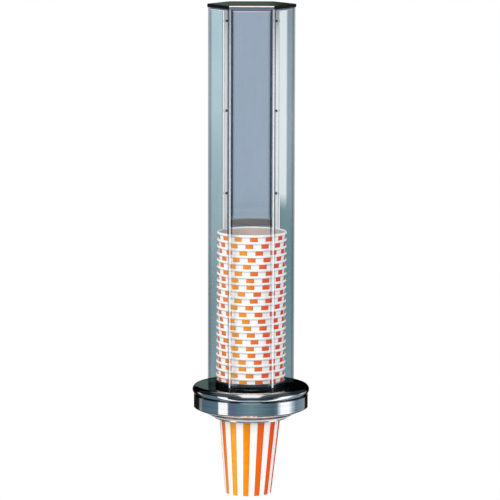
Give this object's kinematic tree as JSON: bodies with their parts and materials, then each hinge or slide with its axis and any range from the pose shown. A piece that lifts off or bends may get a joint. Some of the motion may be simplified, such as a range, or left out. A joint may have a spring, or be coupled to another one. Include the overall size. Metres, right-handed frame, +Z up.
{
  "type": "paper cup dispenser",
  "caption": "Wall-hung paper cup dispenser: clear hexagonal tube with a flat lid, holding a nested stack of striped cups above a round chromed collar from which cups are pulled.",
  "frame": {"origin": "middle of the wall plate's four-screw pattern, on the wall face", "axes": "+Z up along the tube, +Y into the wall, +X to the viewer's right as seen from the front"},
  "size_m": [0.1514, 0.1537, 0.6351],
  "materials": {
    "bracket_steel": "brushed",
    "polished_back": "polished",
    "clear_wall": "clear, faint teal tint",
    "lid": "translucent dark green, polished",
    "collar_chrome": "mirror",
    "works_steel": "plain",
    "finger_plastic": "matte",
    "pad_rubber": "matte",
    "stacked_paper": "waxed paper, orange and white stripes",
    "cup_paper": "waxed paper, orange and white stripes"
  },
  "bodies": {
    "wall_bracket": {"wall_plate": "bracket_steel", "wall_studs": "bracket_steel"},
    "dispenser": {"hanger_rail": "bracket_steel", "back_plate": "polished_back", "clear_shell": "clear_wall", "flange_cover": "collar_chrome", "retainer_ring": "works_steel"},
    "lid": {"lid_plate": "lid", "lid_locator": "lid"},
    "dial": {"cam_ring": "works_steel", "dial_band": "collar_chrome", "bottom_trim": "collar_chrome"},
    "cup_stack": {"cup_stack": "stacked_paper"},
    "pulled_cup": {"dispensed_cup": "cup_paper"},
    "finger_1": {"finger_1": "finger_plastic", "finger_pad_1": "pad_rubber"},
    "finger_2": {"finger_2": "finger_plastic", "finger_pad_2": "pad_rubber"},
    "finger_3": {"finger_3": "finger_plastic", "finger_pad_3": "pad_rubber"}
  },
  "joints": [
    {"name": "wall_lift", "type": "slide", "parent": "wall_bracket", "child": "dispenser", "axis": [0, 0, 1], "range_m": [0, 0.012]},
    {"name": "lid_lift", "type": "slide", "parent": "dispenser", "child": "lid", "axis": [0, 0, 1], "range_m": [0, 0.04]},
    {"name": "dial_turn", "type": "hinge", "parent": "dispenser", "child": "dial", "pos_m": [0, -0.07795, -0.26], "axis": [0, 0, 1], "range_deg": [0, 15]},
    {"name": "finger_1_swing", "type": "hinge", "parent": "dispenser", "child": "finger_1", "pos_m": [0.0535, -0.07795, -0.2572], "axis": [0, 0, 1], "range_deg": [-3.6, 0]},
    {"name": "finger_2_swing", "type": "hinge", "parent": "dispenser", "child": "finger_2", "pos_m": [-0.02675, -0.03162, -0.2572], "axis": [0, 0, 1], "range_deg": [-3.6, 0]},
    {"name": "finger_3_swing", "type": "hinge", "parent": "dispenser", "child": "finger_3", "pos_m": [-0.02675, -0.12428, -0.2572], "axis": [0, 0, 1], "range_deg": [-3.6, 0]},
    {"name": "stack_slide", "type": "slide", "parent": "dispenser", "child": "cup_stack", "axis": [0, 0, 1], "range_m": [0, 0.27]},
    {"name": "cup_pull", "type": "slide", "parent": "cup_stack", "child": "pulled_cup", "axis": [0, 0, -1], "range_m": [0, 0.15], "deforming": ["finger_pad_1", "finger_pad_2", "finger_pad_3"]}
  ],
  "couplings": [
    {"joint": "finger_1_swing", "follows": "dial_turn", "ratio": -0.24},
    {"joint": "finger_2_swing", "follows": "dial_turn", "ratio": -0.24},
    {"joint": "finger_3_swing", "follows": "dial_turn", "ratio": -0.24}
  ]
}
